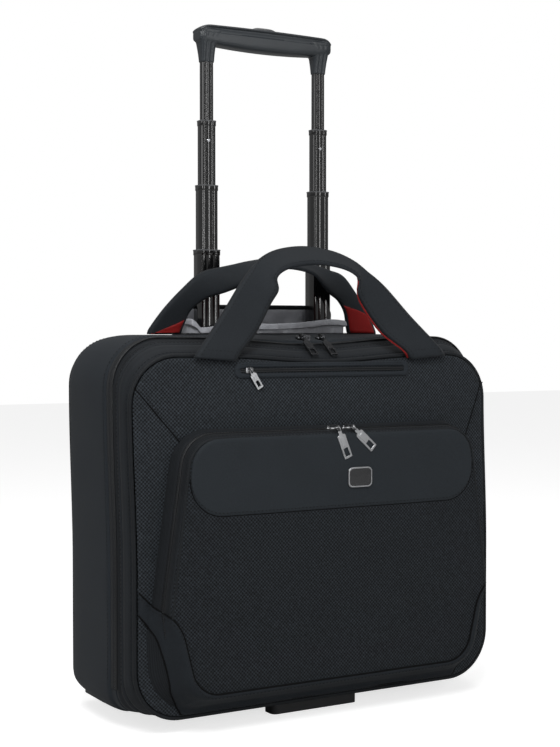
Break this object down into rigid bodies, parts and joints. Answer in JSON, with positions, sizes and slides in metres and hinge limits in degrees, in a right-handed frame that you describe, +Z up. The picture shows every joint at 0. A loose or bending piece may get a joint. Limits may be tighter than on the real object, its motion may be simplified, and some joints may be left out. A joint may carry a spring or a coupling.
{
  "type": "pilot rolling flight case",
  "caption": "Soft wheeled business case with telescopic trolley handle, opening front lid, front pocket, twin carry straps and zipped handle well.",
  "frame": {"origin": "on the ground, in the middle of the overall width and depth", "axes": "+Z up, front of the case towards -Y, +X to the right seen from the front"},
  "size_m": [0.4226, 0.2014, 0.7084],
  "materials": {
    "smooth_fabric": "matte woven polyester",
    "ballistic_fabric": "fine ballistic weave",
    "strap_fabric": "smooth matte strap",
    "red_lining": "smooth red lining",
    "satin_lining": "grey satin",
    "padded_lining": "padded knit",
    "zip_tape": "coil zip tape",
    "piping": "corded piping",
    "chassis_plastic": "moulded",
    "grip_plastic": "satin moulded",
    "button_plastic": "satin moulded",
    "hub_plastic": "moulded",
    "tyre_rubber": "matte",
    "black_tube": "gloss black anodised",
    "tube_metal": "mill finish",
    "collar_metal": "satin",
    "badge_metal": "gloss black",
    "slider_metal": "gunmetal",
    "pull_metal": "gunmetal",
    "steel": "plain"
  },
  "bodies": {
    "case": {"rear_gusset": "smooth_fabric", "back_panel": "smooth_fabric", "bottom_sill": "smooth_fabric", "bottom_chassis": "chassis_plastic", "wheel_housings": "chassis_plastic", "wheel_axles": "steel", "front_foot": "chassis_plastic", "base_screws": "steel", "outer_tubes": "tube_metal", "tube_base_bracket": "chassis_plastic", "well_bezel": "chassis_plastic", "well_lining": "satin_lining", "well_zip_tape": "zip_tape", "tube_cover": "satin_lining", "laptop_sleeve": "padded_lining", "zip_tape_rear": "zip_tape"},
    "well_cover": {"well_cover_flap": "smooth_fabric", "well_cover_lining": "satin_lining"},
    "rear_handle": {"rear_handle_strap": "strap_fabric", "rear_handle_lining": "red_lining"},
    "front_lid": {"lid_gusset": "smooth_fabric", "front_panel": "ballistic_fabric", "front_piping": "piping", "zip_tape_front": "zip_tape", "pocket_gusset": "smooth_fabric", "pocket_base": "ballistic_fabric", "slip_pocket_zip": "zip_tape"},
    "front_handle": {"front_handle_strap": "strap_fabric", "front_handle_lining": "red_lining"},
    "pocket": {"pocket_panel": "ballistic_fabric", "pocket_badge": "badge_metal"},
    "main_slider_l": {"main_slider_left": "slider_metal"},
    "main_tab_l": {"main_pull_left": "pull_metal"},
    "main_slider_r": {"main_slider_right": "slider_metal"},
    "main_tab_r": {"main_pull_right": "pull_metal"},
    "pocket_slider_l": {"pocket_slider_left": "slider_metal"},
    "pocket_tab_l": {"pocket_pull_left": "pull_metal"},
    "pocket_slider_r": {"pocket_slider_right": "slider_metal"},
    "pocket_tab_r": {"pocket_pull_right": "pull_metal"},
    "slip_slider_body": {"slip_slider": "slider_metal"},
    "slip_tab": {"slip_pull": "pull_metal"},
    "stage_4": {"stage_4_tubes": "black_tube", "stage_4_collars": "collar_metal"},
    "stage_3": {"stage_3_tubes": "black_tube", "stage_3_collars": "collar_metal"},
    "stage_2": {"stage_2_tubes": "black_tube", "stage_2_collars": "collar_metal", "lock_pins": "steel"},
    "grip": {"stage_1_tubes": "black_tube", "grip_lower": "grip_plastic", "grip_upper": "grip_plastic", "grip_screws": "steel", "button_spring": "steel"},
    "button": {"push_button": "button_plastic", "release_rods": "steel"},
    "wheel_left": {"tyre_left": "tyre_rubber", "hub_left": "hub_plastic"},
    "wheel_right": {"tyre_right": "tyre_rubber", "hub_right": "hub_plastic"}
  },
  "joints": [
    {"name": "front_lid_open", "type": "hinge", "parent": "case", "child": "front_lid", "pos_m": [0, -0.067, 0.02], "axis": [1, 0, 0], "range_deg": [0, 65]},
    {"name": "front_pocket_open", "type": "hinge", "parent": "front_lid", "child": "pocket", "pos_m": [0, -0.097, 0.1304], "axis": [1, 0, 0], "range_deg": [0, 30]},
    {"name": "front_handle_fold", "type": "hinge", "parent": "front_lid", "child": "front_handle", "pos_m": [0, -0.07, 0.355], "axis": [1, 0, 0], "range_deg": [-8, 95]},
    {"name": "rear_handle_fold", "type": "hinge", "parent": "case", "child": "rear_handle", "pos_m": [0, 0.047, 0.378], "axis": [1, 0, 0], "range_deg": [0, 30]},
    {"name": "well_cover_open", "type": "hinge", "parent": "case", "child": "well_cover", "pos_m": [0, 0.075, 0.377], "axis": [1, 0, 0], "range_deg": [-95, 0]},
    {"name": "main_zip_left", "type": "slide", "parent": "front_lid", "child": "main_slider_l", "axis": [1, 0, 0], "range_m": [-0.084, 0]},
    {"name": "main_pull_left_swing", "type": "hinge", "parent": "main_slider_l", "child": "main_tab_l", "pos_m": [-0.006, -0.03861, 0.3782], "axis": [1, 0, 0], "range_deg": [-120, 0]},
    {"name": "main_zip_right", "type": "slide", "parent": "front_lid", "child": "main_slider_r", "axis": [1, 0, 0], "range_m": [0, 0.073]},
    {"name": "main_pull_right_swing", "type": "hinge", "parent": "main_slider_r", "child": "main_tab_r", "pos_m": [0.017, -0.03861, 0.3782], "axis": [1, 0, 0], "range_deg": [-120, 0]},
    {"name": "pocket_zip_left", "type": "slide", "parent": "pocket", "child": "pocket_slider_l", "axis": [1, 0, 0], "range_m": [-0.12, 0]},
    {"name": "pocket_pull_left_swing", "type": "hinge", "parent": "pocket_slider_l", "child": "pocket_tab_l", "pos_m": [-0.003, -0.0998, 0.29], "axis": [1, 0, 0], "range_deg": [-90, 0]},
    {"name": "pocket_zip_right", "type": "slide", "parent": "pocket", "child": "pocket_slider_r", "axis": [1, 0, 0], "range_m": [0, 0.105]},
    {"name": "pocket_pull_right_swing", "type": "hinge", "parent": "pocket_slider_r", "child": "pocket_tab_r", "pos_m": [0.015, -0.0998, 0.29], "axis": [1, 0, 0], "range_deg": [-90, 0]},
    {"name": "slip_zip", "type": "slide", "parent": "front_lid", "child": "slip_slider_body", "axis": [1, 0, 0], "range_m": [0, 0.18]},
    {"name": "slip_pull_swing", "type": "hinge", "parent": "slip_slider_body", "child": "slip_tab", "pos_m": [-0.086, -0.0732, 0.343], "axis": [1, 0, 0], "range_deg": [-90, 0]},
    {"name": "stage_4_slide", "type": "slide", "parent": "case", "child": "stage_4", "axis": [0, 0, 1], "range_m": [-0.1477, 0]},
    {"name": "stage_3_slide", "type": "slide", "parent": "stage_4", "child": "stage_3", "axis": [0, 0, 1], "range_m": [-0.0607, 0.087]},
    {"name": "stage_2_slide", "type": "slide", "parent": "stage_3", "child": "stage_2", "axis": [0, 0, 1], "range_m": [-0.0607, 0.087]},
    {"name": "grip_slide", "type": "slide", "parent": "stage_2", "child": "grip", "axis": [0, 0, 1], "range_m": [-0.0597, 0.088]},
    {"name": "button_press", "type": "slide", "parent": "grip", "child": "button", "axis": [0, 0, -1], "range_m": [0, 0.003], "stiffness_N_per_m": 900, "springref_m": -0.003, "deforming": ["button_spring"]},
    {"name": "wheel_left_spin", "type": "hinge", "parent": "case", "child": "wheel_left", "pos_m": [-0.168, 0.0727, 0.028], "axis": [1, 0, 0], "continuous": true},
    {"name": "wheel_right_spin", "type": "hinge", "parent": "case", "child": "wheel_right", "pos_m": [0.168, 0.0727, 0.028], "axis": [1, 0, 0], "continuous": true}
  ]
}
